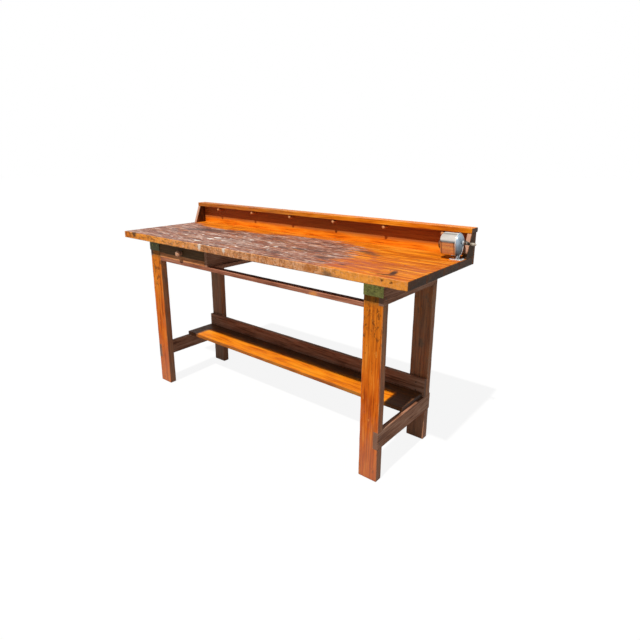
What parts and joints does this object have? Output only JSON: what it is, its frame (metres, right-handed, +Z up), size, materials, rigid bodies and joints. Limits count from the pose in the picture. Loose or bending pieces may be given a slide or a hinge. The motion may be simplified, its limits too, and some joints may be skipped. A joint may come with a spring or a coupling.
{
  "type": "woodworking bench",
  "caption": "Plank-legged woodworking bench with a long worn top, a low shelf, a hung drawer, a back gallery with pegs and a crank pencil sharpener.",
  "frame": {"origin": "on the floor, under the middle of the bounding box", "axes": "+X to the right along the top, +Y to the gallery at the back, +Z up"},
  "size_m": [1.8614, 0.598, 1.022],
  "materials": {
    "top_wood": "worn varnish with dark stains and paint specks",
    "leg_wood": "orange varnish",
    "rail_wood": "aged brown varnish",
    "shelf_wood": "orange varnish",
    "gallery_wood": "orange varnish",
    "peg_wood": "bare pale wood",
    "drawer_wood": "waxed",
    "case_wood": "bare aged wood",
    "green_paint": "old dark green paint",
    "fastener_steel": "dull steel",
    "drum_chrome": "polished chrome plate",
    "cutter_steel": "machined steel",
    "crank_chrome": "polished plate",
    "grip_plastic": "moulded, ivory"
  },
  "bodies": {
    "bench": {"top_board_front": "top_wood", "top_board_front_middle": "top_wood", "top_board_back_middle": "top_wood", "top_board_back": "top_wood", "leg_front_left": "leg_wood", "leg_front_right": "leg_wood", "leg_back_left": "leg_wood", "leg_back_right": "leg_wood", "end_apron_left": "rail_wood", "end_apron_right": "rail_wood", "stretcher_left": "rail_wood", "stretcher_right": "rail_wood", "front_rail": "rail_wood", "back_rail": "rail_wood", "shelf_board": "shelf_wood", "gallery_backboard": "gallery_wood", "gallery_end_left": "gallery_wood", "gallery_end_right": "gallery_wood", "gallery_cap": "gallery_wood", "gallery_pegs": "peg_wood", "drawer_case_left": "case_wood", "drawer_case_right": "case_wood", "drawer_case_back": "case_wood", "drawer_runner_left": "case_wood", "drawer_runner_right": "case_wood", "leg_bracket_left": "green_paint", "leg_bracket_right": "green_paint", "top_nails": "fastener_steel", "apron_nails": "fastener_steel", "stretcher_nails": "fastener_steel", "shelf_nails": "fastener_steel", "back_rail_nails": "fastener_steel", "bracket_screws": "fastener_steel", "backboard_screws": "fastener_steel", "cap_nails": "fastener_steel", "runner_screws": "fastener_steel", "sharpener_screws": "fastener_steel", "sharpener_stand": "drum_chrome", "ring_gear": "cutter_steel"},
    "drawer": {"drawer_front": "drawer_wood", "drawer_side_left": "drawer_wood", "drawer_side_right": "drawer_wood", "drawer_back": "drawer_wood", "drawer_bottom": "drawer_wood", "drawer_brads": "fastener_steel", "drawer_pull": "peg_wood", "drawer_pull_screw": "fastener_steel"},
    "drum": {"shavings_drum": "drum_chrome", "dial_rivet": "drum_chrome"},
    "dial": {"size_dial": "drum_chrome"},
    "crank": {"cutter_carrier": "cutter_steel", "cutter_pins": "cutter_steel", "crank_arm": "crank_chrome", "crank_nut": "crank_chrome", "grip_pin": "crank_chrome"},
    "upper_cutter": {"cutter_upper": "cutter_steel"},
    "lower_cutter": {"cutter_lower": "cutter_steel"},
    "grip": {"crank_grip": "grip_plastic"}
  },
  "joints": [
    {"name": "drawer_slide", "type": "slide", "parent": "bench", "child": "drawer", "axis": [0, -1, 0], "range_m": [0, 0.26]},
    {"name": "drum_pull", "type": "slide", "parent": "bench", "child": "drum", "axis": [-1, 0, 0], "range_m": [0, 0.065]},
    {"name": "dial_turn", "type": "hinge", "parent": "drum", "child": "dial", "pos_m": [0.7962, 0.165, 0.958], "axis": [1, 0, 0], "continuous": true},
    {"name": "crank_turn", "type": "hinge", "parent": "bench", "child": "crank", "pos_m": [0.8723, 0.165, 0.972], "axis": [1, 0, 0], "continuous": true},
    {"name": "upper_cutter_spin", "type": "hinge", "parent": "crank", "child": "upper_cutter", "pos_m": [0.8678, 0.165, 0.97831], "axis": [0.9955, 0, -0.095], "continuous": true},
    {"name": "lower_cutter_spin", "type": "hinge", "parent": "crank", "child": "lower_cutter", "pos_m": [0.8678, 0.165, 0.96569], "axis": [0.9955, 0, 0.095], "continuous": true},
    {"name": "grip_spin", "type": "hinge", "parent": "crank", "child": "grip", "pos_m": [0.9037, 0.20866, 0.96111], "axis": [1, 0, 0], "continuous": true}
  ],
  "couplings": [
    {"joint": "upper_cutter_spin", "follows": "crank_turn", "ratio": -2.1818},
    {"joint": "lower_cutter_spin", "follows": "crank_turn", "ratio": -2.1818}
  ]
}
